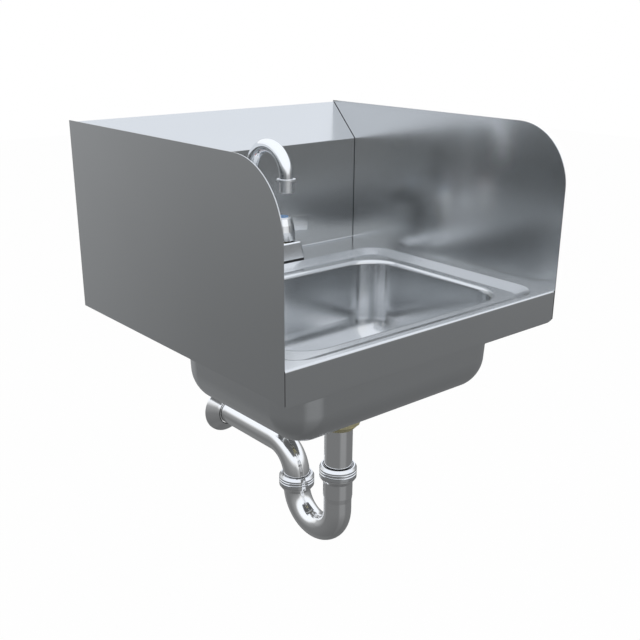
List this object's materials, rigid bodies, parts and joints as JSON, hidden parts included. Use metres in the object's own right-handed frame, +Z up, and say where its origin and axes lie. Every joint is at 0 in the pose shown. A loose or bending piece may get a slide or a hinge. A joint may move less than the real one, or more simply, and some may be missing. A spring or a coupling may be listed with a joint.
{
  "type": "stainless steel hand wash sink",
  "caption": "Wall-hung stainless steel hand wash sink with drawn bowl, sloping-top backsplash, side splashes, gooseneck faucet with lever handles, basket drain and P-trap.",
  "frame": {"origin": "centre of the wall bracket's four screw holes, on the wall plane", "axes": "+Y into the wall, +Z up, +X to the right of a person facing the sink"},
  "size_m": [0.4382, 0.4498, 0.5767],
  "materials": {
    "sheet": "brushed, number 4",
    "chrome": "polished",
    "stainless_fittings": "polished",
    "brass": "unplated",
    "rubber": "matte",
    "zinc_plated": "zinc plated",
    "plastic": "matte",
    "ceramic": "lapped",
    "blue_cap": "gloss",
    "red_cap": "gloss"
  },
  "bodies": {
    "sink": {"basin": "sheet", "backsplash": "sheet", "left_side_splash": "sheet", "right_side_splash": "sheet", "wall_bracket": "zinc_plated", "drain_body": "stainless_fittings", "drain_flange_seal": "rubber", "drain_gasket": "rubber", "drain_friction_washer": "plastic", "drain_locknut": "zinc_plated", "tailpiece_washer": "rubber", "tailpiece": "chrome", "tailpiece_coupling_nut": "brass", "j_bend": "chrome", "trap_arm": "chrome", "inlet_slip_nut": "chrome", "inlet_slip_washer": "rubber", "outlet_slip_nut": "chrome", "outlet_slip_washer": "rubber", "wall_escutcheon": "chrome", "faucet_base_gasket": "rubber", "faucet_body": "chrome", "shank_washers": "zinc_plated", "shank_locknuts": "brass", "spout_thrust_ring": "plastic", "spout_nut": "chrome", "hot_supply_shank": "brass", "hot_cartridge_body": "brass", "hot_seat_seal": "rubber", "hot_fixed_disc": "ceramic", "cold_supply_shank": "brass", "cold_cartridge_body": "brass", "cold_seat_seal": "rubber", "cold_fixed_disc": "ceramic"},
    "spout": {"spout": "chrome", "spout_o_rings": "rubber", "aerator_housing": "chrome", "aerator_insert": "plastic"},
    "hot_handle": {"hot_handle": "chrome", "hot_handle_screw": "stainless_fittings", "hot_index_cap": "red_cap", "hot_valve_stem": "brass", "hot_moving_disc": "ceramic"},
    "cold_handle": {"cold_handle": "chrome", "cold_handle_screw": "stainless_fittings", "cold_index_cap": "blue_cap", "cold_valve_stem": "brass", "cold_moving_disc": "ceramic"},
    "strainer": {"strainer_basket": "stainless_fittings", "strainer_knob": "stainless_fittings"}
  },
  "joints": [
    {"name": "spout_swivel", "type": "hinge", "parent": "sink", "child": "spout", "pos_m": [0, -0.085, -0.1111], "axis": [0, 0, 1], "range_deg": [-100, 100]},
    {"name": "hot_valve", "type": "hinge", "parent": "sink", "child": "hot_handle", "pos_m": [-0.0508, -0.085, -0.1111], "axis": [0, 0, 1], "range_deg": [0, 90]},
    {"name": "cold_valve", "type": "hinge", "parent": "sink", "child": "cold_handle", "pos_m": [0.0508, -0.085, -0.1111], "axis": [0, 0, 1], "range_deg": [-90, 0]},
    {"name": "strainer_lift", "type": "slide", "parent": "sink", "child": "strainer", "axis": [0, 0, 1], "range_m": [0, 0.06]}
  ]
}
